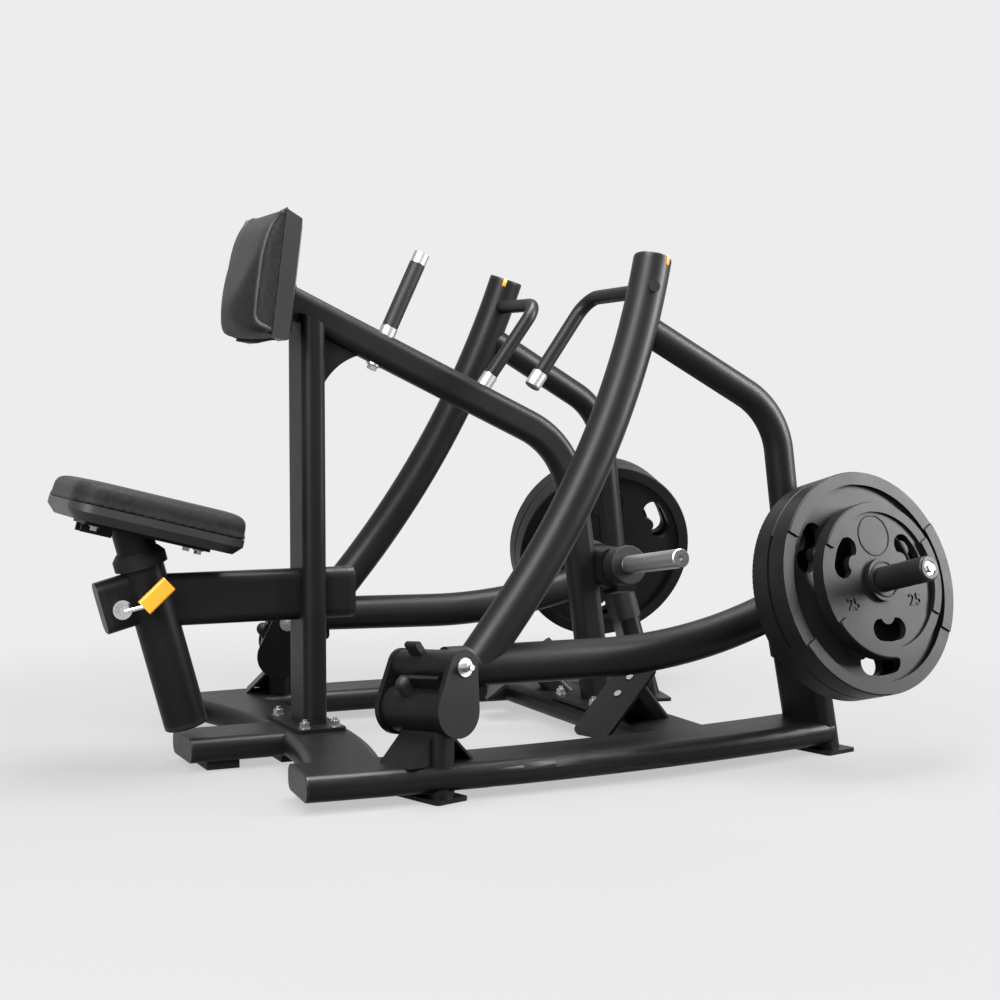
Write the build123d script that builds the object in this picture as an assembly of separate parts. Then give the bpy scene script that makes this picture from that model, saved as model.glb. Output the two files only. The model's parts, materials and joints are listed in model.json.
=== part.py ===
"""Plate-loaded seated row / chest press station with two independent lever arms.

Millimetres, +Z up.  Everything is laid out from the foot of the front post:
+X runs to the weight plates, -X to the seat, Y = 0 is the machine's centre plane.
The finished nodes are moved by ORIGIN_X so that the row's origin is under the
middle of the machine, on the floor.
"""
import os
from math import atan2, cos, degrees, radians, sin, sqrt, tan

from build123d import *

# ---------------------------------------------------------------- main sizes
ORIGIN_X = 338.7

WALL = 3.0
CORNER = 20.0
RAIL_WIDE = 150.0
RAIL_TALL = 50.0
RAIL_Z = 43.0
RAIL_TOP = RAIL_Z + RAIL_TALL / 2
RAIL_BEND = 3900.0
RAIL_APEX = (170.0, 443.0)
RAIL_FRONT_X = -160.0
RAIL_REAR_X = 992.0

FRONT_CROSS_X = -5.0
FRONT_CROSS_BEND = 1311.0
REAR_CROSS_X = 678.0
FOOT_RAIL_FRONT_X = -262.0

BEAM_DEEP = 68.0
BEAM_WIDE = 50.0
BEAM_SLOPE = -0.4732
BEAM_Z_AT_POST = 918.5
BEAM_CORNER = (593.9, 637.5)
BEAM_BEND = 190.0
COLUMN_FOOT_X = 682.6
COLUMN_LEAN = 0.137
BASE_PLATE_TOP = 76.0

POST_WIDE = 115.0
SEAT_BEAM_Z = 340.0
SEAT_BEAM_DEEP = 105.0
SEAT_BEAM_REAR = 82.0

SLEEVE_FOOT = (-260.0, 96.0)
SLEEVE_TOP = (-345.0, 409.7)
SLEEVE_RADIUS = 44.0
SLEEVE_BORE = 40.0
SEAT_POST_RADIUS = 39.7

SEAT_ORIGIN = (-339.2, 486.0)
SEAT_TILT = 14.5
SEAT_LONG = 354.0
SEAT_WIDE = 300.0
SEAT_UNDER = -12.0
SEAT_SHELL = 20.0
SEAT_THICK = 61.0
BRACKET_UNDER = -19.0

PAD_ORIGIN = (-43.8, 859.0)
PAD_LEAN = 7.3
PAD_BACK = 12.0
PAD_WIDE = 250.0

PIVOT_POST = (80.0, -450.0)
PIVOT_TURN = 18.0
PIVOT_RISE = 5.0
PIVOT_Z = 164.0
PIVOT_TUBE_OFFSET = (19.0, 78.0)
PIVOT_HALF = 92.0
PIVOT_PLATE = 12.0

LEVER_RADIUS = 38.6
LOWER_RADIUS = 39.0
UPPER_RADIUS = 30.0
HORN_ROOT = (942.0, -392.0, 322.0)
HORN_AXIS = (0.1434, -0.956, 0.254)
HORN_RADIUS = 25.0
HORN_LONG = 373.0
PLATE_BORE = 25.35
BIG_PLATE_RADIUS = 225.0
BIG_PLATE_THICK = 50.0
BIG_PLATE_INNER = 115.5
SMALL_PLATE_RADIUS = 156.5
SMALL_PLATE_THICK = 35.0

REST_FOOT = (1001.0, -361.0, 0.0)
REST_TOP = (949.0, -382.0, 205.0)
REST_WIDE_DIR = (-0.247, 0.969, 0.0)


# ------------------------------------------------------------------- helpers
def vec(point):
    return Vector(*point)


def flat(x, z):
    """A point of the centre plane, given along the machine and up."""
    return Vector(x, 0, z)


def square_to(direction, run):
    """The part of a direction that is square to a run, at unit length."""
    run = run.normalized()
    return (direction - run * direction.dot(run)).normalized()


def bar(start, end, wide_dir, wide, tall, corner=CORNER):
    """A straight solid bar of rounded rectangular section."""
    run = vec(end) - vec(start)
    across = square_to(vec(wide_dir), run)
    plane = Plane(origin=vec(start), x_dir=across, z_dir=run.normalized())
    return extrude(plane * RectangleRounded(wide, tall, corner), run.length)


def flat_tube(start, end, wide_dir, wide, tall, corner=CORNER, wall=WALL):
    outer = bar(start, end, wide_dir, wide, tall, corner)
    return outer - bar(start, end, wide_dir, wide - 2 * wall, tall - 2 * wall, corner - wall)


def rod(start, end, radius):
    run = vec(end) - vec(start)
    plane = Plane(origin=vec(start), z_dir=run.normalized())
    return extrude(plane * Circle(radius), run.length)


def round_tube(start, end, radius, bore):
    return rod(start, end, radius) - rod(start, end, bore)


def along(start, direction, distance):
    return vec(start) + vec(direction).normalized() * distance


def bent_path(start, corner, end, radius):
    """Two straight runs joined by an arc of the given radius."""
    back = (vec(start) - vec(corner)).normalized()
    ahead = (vec(end) - vec(corner)).normalized()
    half = radians(back.get_angle(ahead) / 2)
    reach = radius / tan(half)
    first = vec(corner) + back * reach
    last = vec(corner) + ahead * reach
    middle = vec(corner) + (back + ahead).normalized() * (radius / sin(half) - radius)
    edges = [Line(vec(start), first), ThreePointArc(first, middle, last), Line(last, vec(end))]
    return Wire([edge.edge() for edge in edges])


def swept(path, section):
    """Sweep a section that is already placed at the start of the path."""
    return sweep(section, path=path)


def swept_round(path, radius, wall):
    plane = Plane(origin=path @ 0, z_dir=path % 0)
    outer = swept(path, plane * Circle(radius))
    if wall <= 0:
        return outer
    return outer - swept(path, plane * Circle(radius - wall))


def straight_then_curve(start, middle, end):
    """A straight run and the arc that leaves it smoothly for the end point."""
    first = Line(vec(start), vec(middle))
    curve = TangentArc(vec(middle), vec(end), tangent=vec(middle) - vec(start))
    return Wire([first.edge(), curve.edge()])


def both_sides(shape):
    return shape + mirror(shape, about=Plane.XZ)


def hex_bolt(seat_point, direction, across_flats, head, washer_radius=0.0, washer=2.0):
    """A washer and hexagon head standing on a face."""
    away = vec(direction).normalized()
    start = vec(seat_point)
    shape = None
    if washer_radius > 0:
        shape = rod(start, start + away * washer, washer_radius)
        start = start + away * washer
    plane = Plane(origin=start, z_dir=away)
    hexagon = extrude(plane * RegularPolygon(across_flats / sqrt(3), 6), head)
    return hexagon if shape is None else shape + hexagon


def rail_y(x):
    """Distance of a side rail's centreline from the centre plane."""
    return RAIL_APEX[1] - (RAIL_BEND - sqrt(RAIL_BEND**2 - (x - RAIL_APEX[0]) ** 2))


# ------------------------------------------------------------ floor frame
def rail_solid(wide, tall, corner, front, rear):
    points = [(x, -rail_y(x), RAIL_Z) for x in (front, (front + rear) / 2, rear)]
    path = Wire([ThreePointArc(*[vec(point) for point in points]).edge()])
    heading = path % 0
    plane = Plane(origin=path @ 0, x_dir=square_to(Vector(0, 1, 0), heading), z_dir=heading)
    return swept(path, plane * RectangleRounded(wide, tall, corner))


def rail_outer():
    return rail_solid(RAIL_WIDE, RAIL_TALL, CORNER, RAIL_FRONT_X, RAIL_REAR_X)


def rest_post_outer():
    return bar(along(REST_FOOT, vec(REST_TOP) - vec(REST_FOOT), 8), REST_TOP, REST_WIDE_DIR, 125, 50)


def make_side_rail():
    inner = rail_solid(RAIL_WIDE - 2 * WALL, RAIL_TALL - 2 * WALL, CORNER - WALL,
                       RAIL_FRONT_X, RAIL_REAR_X - 4)
    rail = rail_outer() - inner
    rail = rail - rest_post_outer() - pivot_post_outer()
    return max(rail.solids(), key=lambda solid: solid.volume)


def cross_solid(wide, tall, corner):
    reach = rail_y(-60)
    sag = reach**2 / (2 * FRONT_CROSS_BEND)
    start = Vector(FRONT_CROSS_X - sag, -reach, RAIL_Z)
    end = Vector(FRONT_CROSS_X - sag, reach, RAIL_Z)
    path = Wire([ThreePointArc(start, Vector(FRONT_CROSS_X, 0, RAIL_Z), end).edge()])
    heading = path % 0
    plane = Plane(origin=path @ 0, x_dir=square_to(Vector(1, 0, 0), heading), z_dir=heading)
    return swept(path, plane * RectangleRounded(wide, tall, corner))


def front_cross_outer():
    return cross_solid(RAIL_WIDE, RAIL_TALL, CORNER)


def make_front_crossmember():
    inner = cross_solid(RAIL_WIDE - 2 * WALL, RAIL_TALL - 2 * WALL, CORNER - WALL)
    tube = front_cross_outer() - inner - both_sides(rail_outer())
    return max(tube.solids(), key=lambda solid: solid.volume)


def make_rear_crossmember():
    reach = rail_y(REAR_CROSS_X)
    ends = (REAR_CROSS_X, -reach, RAIL_Z), (REAR_CROSS_X, reach, RAIL_Z)
    tube = flat_tube(ends[0], ends[1], (1, 0, 0), RAIL_WIDE, RAIL_TALL) - both_sides(rail_outer())
    return max(tube.solids(), key=lambda solid: solid.volume)


def make_centre_foot_rail():
    ends = (FOOT_RAIL_FRONT_X, 0, RAIL_Z), (FRONT_CROSS_X, 0, RAIL_Z)
    tube = flat_tube(ends[0], ends[1], (0, 1, 0), RAIL_WIDE, RAIL_TALL) - front_cross_outer()
    return max(tube.solids(), key=lambda solid: solid.volume)


def end_cap(centre, outward, wide_dir, wide, tall, thick=5.0, plug=18.0):
    """A moulded cap: a plate over the tube's end and a plug inside it."""
    outward = vec(outward).normalized()
    face = vec(centre)
    plate = bar(face, face + outward * thick, wide_dir, wide, tall)
    plate = fillet(plate.faces().sort_by(Axis(face, outward))[-1].edges(), 2.0)
    inner = CORNER - WALL
    return plate + bar(face - outward * plug, face, wide_dir, wide - 2 * WALL, tall - 2 * WALL, inner)


def make_tube_end_caps():
    x = RAIL_FRONT_X
    slope = (x - RAIL_APEX[0]) / RAIL_BEND
    rail = end_cap((x, -rail_y(x), RAIL_Z), (-1, -slope, 0), (0, 1, 0), RAIL_WIDE, RAIL_TALL)
    foot = end_cap((FOOT_RAIL_FRONT_X, 0, RAIL_Z), (-1, 0, 0), (0, 1, 0), RAIL_WIDE, RAIL_TALL)
    beam = end_cap((SEAT_BEAM_REAR, 0, SEAT_BEAM_Z), (1, 0, 0), (0, 0, 1), SEAT_BEAM_DEEP, BEAM_WIDE, 14)
    nose = end_cap(stub_nose(), -stub_run(), sleeve_run(), SEAT_BEAM_DEEP, BEAM_WIDE, 13)
    foot_face = flat(*SLEEVE_FOOT)
    sleeve = rod(foot_face - sleeve_run() * 12, foot_face, SLEEVE_RADIUS)
    sleeve = fillet(sleeve.faces().sort_by(Axis(foot_face, sleeve_run()))[0].edges(), 5)
    return both_sides(rail) + foot + beam + nose + sleeve


def make_rubber_feet():
    shape = Pos(-196, 0, 9) * Box(67, 100, 18)
    return shape + Pos(-50, 0, 9) * Box(40, 70, 18)


def make_base_plates():
    front = Pos(-5.5, 0, 72) * Box(103, 213, 8)
    front = fillet(front.edges().filter_by(Axis.Z), 8)
    rear = Pos(663, 0, 72) * Box(126, 196, 8)
    rear = fillet(rear.edges().filter_by(Axis.Z), 8)
    return front + rear


def make_frame_bolts():
    shape = None
    spots = [(-38, -88), (-38, 88), (27, -88), (27, 88), (622, -80), (622, 80), (704, -80), (704, 80)]
    for x, y in spots:
        bolt = hex_bolt((x, y, BASE_PLATE_TOP), (0, 0, 1), 18, 10, 12)
        bolt = bolt + rod((x, y, BASE_PLATE_TOP + 12), (x, y, BASE_PLATE_TOP + 18), 5)
        shape = bolt if shape is None else shape + bolt
    return shape


# ------------------------------------------------------- post, beam, column
def beam_path(front_x=-70.0):
    start = flat(front_x, BEAM_Z_AT_POST + BEAM_SLOPE * front_x)
    foot = flat(COLUMN_FOOT_X - COLUMN_LEAN * BASE_PLATE_TOP, BASE_PLATE_TOP)
    return bent_path(start, flat(*BEAM_CORNER), foot, BEAM_BEND)


def beam_solid(deep, wide, corner):
    path = beam_path()
    heading = path % 0
    plane = Plane(origin=path @ 0, x_dir=square_to(Vector(0, 0, 1), heading), z_dir=heading)
    return swept(path, plane * RectangleRounded(deep, wide, corner))


def beam_outer():
    return beam_solid(BEAM_DEEP, BEAM_WIDE, CORNER)


def pad_point(forward, up, y=0.0):
    """A point in the chest pad's own section: forward of its back face and up along it."""
    lean = radians(PAD_LEAN)
    x = PAD_ORIGIN[0] + sin(lean) * up - cos(lean) * forward
    z = PAD_ORIGIN[1] + cos(lean) * up + sin(lean) * forward
    return Vector(x, y, z)


def pad_direction(forward, up):
    return (pad_point(forward, up) - pad_point(0, 0)).normalized()


def pad_block(forward_low, forward_high, up_low, up_high, half_wide):
    """A box square to the chest pad's back face."""
    centre = pad_point((forward_low + forward_high) / 2, (up_low + up_high) / 2)
    plane = Plane(origin=centre, x_dir=pad_direction(1, 0), z_dir=pad_direction(0, 1))
    return plane * Box(forward_high - forward_low, 2 * half_wide, up_high - up_low)


def make_main_beam():
    foot = flat(COLUMN_FOOT_X - COLUMN_LEAN * BASE_PLATE_TOP, BASE_PLATE_TOP)
    inner = beam_solid(BEAM_DEEP - 2 * WALL, BEAM_WIDE - 2 * WALL, CORNER - WALL)
    beam = beam_outer() - inner
    beam = beam - pad_block(PAD_BACK - 8, 400, -400, 600, 200)
    beam = beam - Pos(foot.X, 0, BASE_PLATE_TOP - 50) * Box(400, 400, 100)
    return max(beam.solids(), key=lambda solid: solid.volume)


def above_beam(offset):
    """Everything above a line parallel to the beam, offset square to its centreline."""
    low = assist_base() + beam_normal() * offset
    plane = Plane(origin=low, x_dir=(1, 0, BEAM_SLOPE), z_dir=beam_normal())
    return plane * Pos(0, 0, 200) * Box(900, 400, 400)


def seat_beam_outer():
    return bar((-326, 0, SEAT_BEAM_Z), (SEAT_BEAM_REAR, 0, SEAT_BEAM_Z), (0, 0, 1), SEAT_BEAM_DEEP, BEAM_WIDE)


def make_front_post():
    ends = (0, 0, BASE_PLATE_TOP), (0, 0, 960)
    outer = bar(ends[0], ends[1], (0, 1, 0), POST_WIDE, 50) - above_beam(-16)
    inner = bar(ends[0], ends[1], (0, 1, 0), POST_WIDE - 2 * WALL, 50 - 2 * WALL, CORNER - WALL)
    inner = inner - above_beam(-20) - beam_solid(BEAM_DEEP + 8, BEAM_WIDE + 8, CORNER + 4)
    post = outer - inner - beam_outer() - seat_beam_outer() - pad_block(PAD_BACK - 8, 400, -400, 600, 200)
    return max(post.solids(), key=lambda solid: solid.volume)


def make_beam_gusset():
    plane = Plane(origin=(0, 5, 0), x_dir=(1, 0, 0), z_dir=(0, -1, 0))
    lines = Line((25, 748), (25, 900)) + Line((25, 900), (122, 852)) + Line((122, 852), (122, 832))
    outline = lines + ThreePointArc((122, 832), (66, 806), (25, 748))
    plate = extrude(plane * make_face(outline), 10) - beam_outer()
    return min(plate.solids(), key=lambda solid: solid.center().Z)


# ------------------------------------------------------------- seat support
def sleeve_run():
    return (flat(*SLEEVE_TOP) - flat(*SLEEVE_FOOT)).normalized()


def sleeve_point(distance):
    """A point on the sleeve's axis, measured up from its foot."""
    return flat(*SLEEVE_FOOT) + sleeve_run() * distance


def sleeve_long():
    return (flat(*SLEEVE_TOP) - flat(*SLEEVE_FOOT)).length


def stub_run():
    """Direction from the stub's nose to the sleeve, square to the sleeve."""
    run = sleeve_run()
    return Vector(run.Z, 0, -run.X)


def stub_nose():
    return flat(-415, 331)


def sleeve_outer():
    return rod(sleeve_point(0), sleeve_point(sleeve_long()), SLEEVE_RADIUS)


def make_seat_beam():
    beam = seat_beam_outer() - bar((-330, 0, SEAT_BEAM_Z), (SEAT_BEAM_REAR, 0, SEAT_BEAM_Z), (0, 0, 1),
                                   SEAT_BEAM_DEEP - 2 * WALL, BEAM_WIDE - 2 * WALL, CORNER - WALL)
    beam = max((beam - sleeve_outer()).solids(), key=lambda solid: solid.center().X)
    nose = stub_nose()
    stub = flat_tube(nose, nose + stub_run() * 90, sleeve_run(), SEAT_BEAM_DEEP, BEAM_WIDE)
    stub = min((stub - sleeve_outer()).solids(), key=lambda solid: solid.center().X)
    return Part() + [beam, stub]


def make_seat_sleeve():
    return sleeve_outer() - rod(sleeve_point(0), sleeve_point(sleeve_long()), SLEEVE_BORE)


def make_seat_collar():
    low = sleeve_long()
    collar = rod(sleeve_point(low), sleeve_point(low + 32), 53)
    collar = chamfer(collar.faces().sort_by(Axis(sleeve_point(0), sleeve_run()))[-1].edges(), 12, 10)
    return collar - rod(sleeve_point(low - 1), sleeve_point(low + 40), SLEEVE_BORE)


LEVER_PIN = (-392.0, 0.0, 328.0)


def make_pin_bushing():
    x, z = LEVER_PIN[0], LEVER_PIN[2]
    shape = rod((x, -25, z), (x, -40, z), 19) + rod((x, -40, z), (x, -52, z), 14)
    return shape - rod((x, -25, z), (x, -60, z), 6.05)


def make_seat_lever_rod():
    x, z = LEVER_PIN[0], LEVER_PIN[2]
    shape = rod((x, -25.5, z), (x, -64, z), 6) + rod((x, -52.3, z), (x, -64, z), 11)
    return shape + rod((x, -60, z), (-352, -73, 338), 5)


def make_seat_lever_grip():
    start = Vector(-358, -75, 334)
    end = Vector(-308, -75, 380)
    slab = bar(start, end, (0, 1, 0), 13, 34, 5)
    return slab - rod((LEVER_PIN[0], -60, LEVER_PIN[2]), (-352, -73, 338), 5)


# --------------------------------------------------------------- seat
def seat_plane(height=0.0):
    """Plane along the seat's underside; its X runs forward, its Y across."""
    tilt = radians(SEAT_TILT)
    normal = Vector(sin(tilt), 0, cos(tilt))
    return Plane(origin=flat(*SEAT_ORIGIN) + normal * height, x_dir=(cos(tilt), 0, -sin(tilt)),
                 z_dir=normal)


def seat_slab(low, high, inset, corner):
    outline = RectangleRounded(SEAT_LONG - 2 * inset, SEAT_WIDE - 2 * inset, corner)
    return extrude(seat_plane(low) * outline, high - low)


def make_seat_shell():
    slab = seat_slab(SEAT_UNDER, SEAT_SHELL, 1, 54)
    low = slab.faces().sort_by(Axis(seat_plane().origin, seat_plane().z_dir))[0]
    return chamfer(low.edges(), 17)


def make_seat_pad():
    slab = seat_slab(SEAT_SHELL, SEAT_THICK, 0, 55)
    faces = slab.faces().sort_by(Axis(seat_plane().origin, seat_plane().z_dir))
    return fillet(faces[-1].edges(), 16)


def make_seat_bracket():
    plate = extrude(seat_plane(BRACKET_UNDER) * RectangleRounded(255, 130, 14), SEAT_UNDER - BRACKET_UNDER)
    ribs = None
    for side in (-1, 1):
        rib = seat_plane(BRACKET_UNDER) * Pos(-95, side * 24, -8) * Box(62, 6, 16)
        ribs = rib if ribs is None else ribs + rib
    return plate + ribs


def make_seat_post():
    post = rod(sleeve_point(120), sleeve_point(460), SEAT_POST_RADIUS)
    post = post - rod(sleeve_point(119), sleeve_point(461), SEAT_POST_RADIUS - 4)
    above = seat_plane(BRACKET_UNDER + 50) * Box(600, 400, 100)
    post = post - above
    for step in range(5):
        spot = sleeve_point(150 + 25 * step)
        post = post - rod(spot, spot - stub_run() * 60, 6.5)
    return max(post.solids(), key=lambda solid: solid.volume)


def make_seat_bolts():
    shape = None
    for x in (-105, 105):
        for y in (-45, 45):
            spot = seat_plane(BRACKET_UNDER) * Pos(x, y, 0)
            bolt = hex_bolt(spot.position, -seat_plane().z_dir, 13, 7, 11)
            shape = bolt if shape is None else shape + bolt
    return shape


# ----------------------------------------------------------- chest pad
def pad_prism(points, half_wide=200.0):
    """Extrude a section of the chest pad, given as (forward, up) points, across the machine."""
    plane = Plane(origin=pad_point(0, 0, -half_wide), x_dir=pad_direction(1, 0), z_dir=(0, 1, 0))
    return extrude(plane * make_face(Polyline(*points, close=True)), 2 * half_wide)


def pad_plan(edges, low=-60.0, high=320.0):
    plane = Plane(origin=pad_point(0, low), x_dir=pad_direction(1, 0), z_dir=pad_direction(0, 1))
    return extrude(plane * make_face(edges), high - low)


def pad_seam():
    return ThreePointArc((68, -125), (28, 0), (68, 125))


def make_chest_shell():
    section = pad_prism([(PAD_BACK, 4), (PAD_BACK, 222), (30, 230), (72, 248), (72, -8), (38, -10)])
    back = Line((34, -125), (PAD_BACK, -62)) + Line((PAD_BACK, -62), (PAD_BACK, 62))
    back = back + Line((PAD_BACK, 62), (34, 125))
    sides = Line((34, 125), (68, 125)) + Line((68, -125), (34, -125))
    return section & pad_plan(back + sides + pad_seam())


def make_chest_pad():
    outline = [(20, -2), (20, 236), (48, 247), (62, 251), (76, 246), (92, 205), (128, 60)]
    section = pad_prism(outline + [(131, 36), (129, 16), (120, 4), (104, -6)])
    front = ThreePointArc((94, 125), (131, 0), (94, -125))
    sides = Line((68, 125), (94, 125)) + Line((94, -125), (68, -125))
    cushion = section & pad_plan(pad_seam() + sides + front)
    return cushion


def make_chest_plate():
    return pad_block(PAD_BACK - 8, PAD_BACK, 12, 110, 42)


# ------------------------------------------------------ assist handle
def beam_normal():
    return Vector(-BEAM_SLOPE, 0, 1).normalized()


def assist_base():
    x = 160.0
    return flat(x, BEAM_Z_AT_POST + BEAM_SLOPE * x)


def assist_point(distance):
    """A point on the assist handle's axis, measured from the beam's top face."""
    return assist_base() + beam_normal() * (BEAM_DEEP / 2 + distance)


def make_assist_bar():
    return rod(assist_point(-16), assist_point(184), 11) - beam_outer()


def make_assist_grip():
    return rod(assist_point(16), assist_point(164), 17) - rod(assist_point(0), assist_point(190), 11)


def make_assist_ferrules():
    low = rod(assist_point(-14), assist_point(16), 18) - rod(assist_point(-20), assist_point(190), 11)
    low = low - beam_outer()
    high = rod(assist_point(164), assist_point(188), 16.5)
    high = high - rod(assist_point(0), assist_point(184), 11)
    under = hex_bolt(assist_base() - beam_normal() * (BEAM_DEEP / 2 + 0.1), -beam_normal(), 19, 9, 15, 3)
    return low + high + under


# -------------------------------------------------------- pivot stand
def pivot_outward():
    turn = radians(PIVOT_TURN)
    return Vector(sin(turn), -cos(turn), 0)


def pivot_rearward():
    turn = radians(PIVOT_TURN)
    return Vector(cos(turn), sin(turn), 0)


def pivot_axis():
    rise = radians(PIVOT_RISE)
    return pivot_outward() * cos(rise) + Vector(0, 0, sin(rise))


def pivot_plane(distance=0.0):
    """Plane square to the pivot's axis; its X runs rearward and its Y up."""
    centre = Vector(PIVOT_POST[0], PIVOT_POST[1], PIVOT_Z)
    return Plane(origin=centre + pivot_axis() * distance, x_dir=pivot_rearward(), z_dir=pivot_axis())


def pivot_post_outer():
    x, y = PIVOT_POST
    return bar((x, y, 8), (x, y, PIVOT_Z + 10), pivot_outward(), 125, 50)


def pivot_barrel(radius, centre, low, high):
    return extrude(pivot_plane(low) * Pos(*centre) * Circle(radius), high - low)


def make_pivot_stand():
    x, y = PIVOT_POST
    post = flat_tube((x, y, 8), (x, y, PIVOT_Z + 10), pivot_outward(), 125, 50)
    post = post - pivot_barrel(44.5, (0, 0), -90, 90)
    post = max(post.solids(), key=lambda solid: solid.volume)
    shape = Part() + post
    for facing in (-1, 1):
        run = pivot_rearward() * facing
        foot = Vector(x, y, RAIL_TOP) + run * 25 + pivot_outward() * -45
        plane = Plane(origin=foot, x_dir=run, z_dir=run.cross(Vector(0, 0, 1)))
        depth = 90 if plane.z_dir.dot(pivot_outward()) > 0 else -90
        wedge = extrude(plane * make_face(Polyline((0, 0), (52, 0), (0, 52), close=True)), depth)
        inner = extrude(plane * make_face(Polyline((0, 0), (45, 0), (0, 45), close=True)), depth)
        inner = Pos(*(pivot_outward() * (5 if depth > 0 else -5))) * inner
        trimmed = wedge - (inner & Pos(*(pivot_outward() * -5)) * inner)
        shape = shape + (wedge if trimmed is None else trimmed)
    return shape - rail_outer()


def pivot_cheek(low, high):
    """Teardrop plate: a large lobe round the fixed barrel and a small one round the pivot."""
    gap_x, gap_y = PIVOT_TUBE_OFFSET
    big, small = 50.0, 33.0
    apart = sqrt(gap_x**2 + gap_y**2)
    lean = atan2(gap_y, gap_x)
    spread = radians(90) - (big - small) / apart
    points = []
    for side in (1, -1):
        angle = lean + side * (spread)
        near = (big * cos(angle), big * sin(angle))
        far = (gap_x + small * cos(angle), gap_y + small * sin(angle))
        points += [near, far] if side > 0 else [far, near]
    web = make_face(Polyline(*points, close=True))
    sketch = Circle(big) + Pos(gap_x, gap_y) * Circle(small) + web
    return extrude(pivot_plane(low) * sketch, high - low)


def make_pivot_housing():
    inside = PIVOT_HALF - PIVOT_PLATE
    barrel = pivot_barrel(44.5, (0, 0), -inside, inside) - pivot_barrel(39.5, (0, 0), -inside, inside)
    cheeks = pivot_cheek(-PIVOT_HALF, -inside) + pivot_cheek(inside, PIVOT_HALF)
    cheeks = cheeks - pivot_barrel(8, PIVOT_TUBE_OFFSET, -120, 120)
    web = pivot_plane(18) * Pos(-20, 50, 0) * Rot(0, 0, 37) * Box(8, 34, 110)
    web = web - pivot_barrel(44.5, (0, 0), -90, 90) - pivot_barrel(33.5, PIVOT_TUBE_OFFSET, -90, 90)
    web = web - make_stop_bumper()
    return barrel + cheeks + max(web.solids(), key=lambda solid: solid.volume)


def make_pivot_shaft():
    shaft = pivot_barrel(8, PIVOT_TUBE_OFFSET, -PIVOT_HALF, PIVOT_HALF)
    for side in (-1, 1):
        face = (pivot_plane(side * PIVOT_HALF) * Pos(*PIVOT_TUBE_OFFSET)).position
        away = pivot_axis() * side
        shaft = shaft + rod(face, face + away * 3, 17.5)
        shaft = shaft + hex_bolt(face + away * 3, away, 17, 11) + rod(face + away * 14, face + away * 22, 5.5)
    return shaft


def make_stop_bumper():
    start = (pivot_plane(-18) * Pos(-26.7, 35.6, 0)).position
    away = ((pivot_plane(-18) * Pos(-26.7 - 6, 35.6 + 8, 0)).position - start).normalized()
    bumper = rod(start, start + away * 18, 15) + Pos(*(start + away * 18)) * Sphere(15)
    bumper = bumper - pivot_barrel(44.5, (0, 0), -90, 90)
    return max(bumper.solids(), key=lambda solid: solid.volume)


def make_floor_pad():
    x, y = PIVOT_POST
    plane = Plane(origin=(x, y, 0), x_dir=pivot_rearward(), z_dir=(0, 0, 1))
    front = extrude(plane * RectangleRounded(76, 150, 8), 8)
    plane = Plane(origin=(1004, -362, 0), x_dir=(0.969, 0.247, 0), z_dir=(0, 0, 1))
    rear = extrude(plane * RectangleRounded(84, 150, 8), 8)
    return front + rear


def make_rest_post():
    start = along(REST_FOOT, vec(REST_TOP) - vec(REST_FOOT), 9)
    post = flat_tube(start, REST_TOP, REST_WIDE_DIR, 125, 50)
    return post - Pos(1004, -362, 0) * Box(400, 400, 16)


def make_rest_cap():
    run = vec(REST_TOP) - vec(REST_FOOT)
    low = along(REST_TOP, run, -2)
    cap = bar(low, along(REST_TOP, run, 66), REST_WIDE_DIR, 135, 60, 24)
    cap = cap - bar(along(REST_TOP, run, -5), REST_TOP, REST_WIDE_DIR, 125, 50)
    return cap - Pos(950, -382, 368) * Box(400, 400, 200)


# ------------------------------------------------------- storage horns
STORAGE_ROOT = (700.0, -25.0, 369.0)
STORAGE_AXIS = (0.0, -0.989, 0.145)
STORAGE_LONG = 297.0
STORAGE_GROOVE = 75.0
HORN_GROOVE = 252.0
GROOVE_WIDE = 2.0


def ring_groove(root, axis, distance, radius):
    """The ring cut from a round bar by a shallow groove for a retaining clip."""
    start = along(root, axis, distance)
    end = along(root, axis, distance + GROOVE_WIDE)
    return rod(start, end, radius + 2) - rod(start, end, radius - 0.8)


def make_storage_mount():
    block = bar((696, -48, 369), (696, 48, 369), (0, 0, 1), 84, 78, 18) - beam_outer()
    return max(block.solids(), key=lambda solid: solid.center().X)


def make_storage_horn():
    horn = rod(along(STORAGE_ROOT, STORAGE_AXIS, 24.5), along(STORAGE_ROOT, STORAGE_AXIS, STORAGE_LONG), 20)
    horn = chamfer(horn.faces().sort_by(Axis(vec(STORAGE_ROOT), vec(STORAGE_AXIS)))[-1].edges(), 2)
    mount = bar((696, -48, 369), (696, 48, 369), (0, 0, 1), 84, 78, 18)
    tip = rod(along(STORAGE_ROOT, STORAGE_AXIS, STORAGE_LONG - 8),
              along(STORAGE_ROOT, STORAGE_AXIS, STORAGE_LONG + 5), 6)
    return horn - mount - tip - ring_groove(STORAGE_ROOT, STORAGE_AXIS, STORAGE_GROOVE, 20)


def make_storage_disc():
    disc = rod(along(STORAGE_ROOT, STORAGE_AXIS, 30), along(STORAGE_ROOT, STORAGE_AXIS, 74), 43)
    disc = fillet(disc.faces().sort_by(Axis(vec(STORAGE_ROOT), vec(STORAGE_AXIS)))[-1].edges(), 3)
    core = rod(along(STORAGE_ROOT, STORAGE_AXIS, 20), along(STORAGE_ROOT, STORAGE_AXIS, 80), 20)
    mount = bar((696, -48, 369), (696, 48, 369), (0, 0, 1), 84, 78, 18)
    shape = disc - core - mount
    return max(shape.solids(), key=lambda solid: solid.volume)


# ---------------------------------------------------------- foot rests
FOOT_PLATE_CORNER = (531.0, -310.0, 50.0)
FOOT_PLATE_WIDE = 100.0
FOOT_PLATE_LONG = 204.0
FOOT_PLATE_SLOPE = 40.0
FOOT_TURN = 18.6


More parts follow.
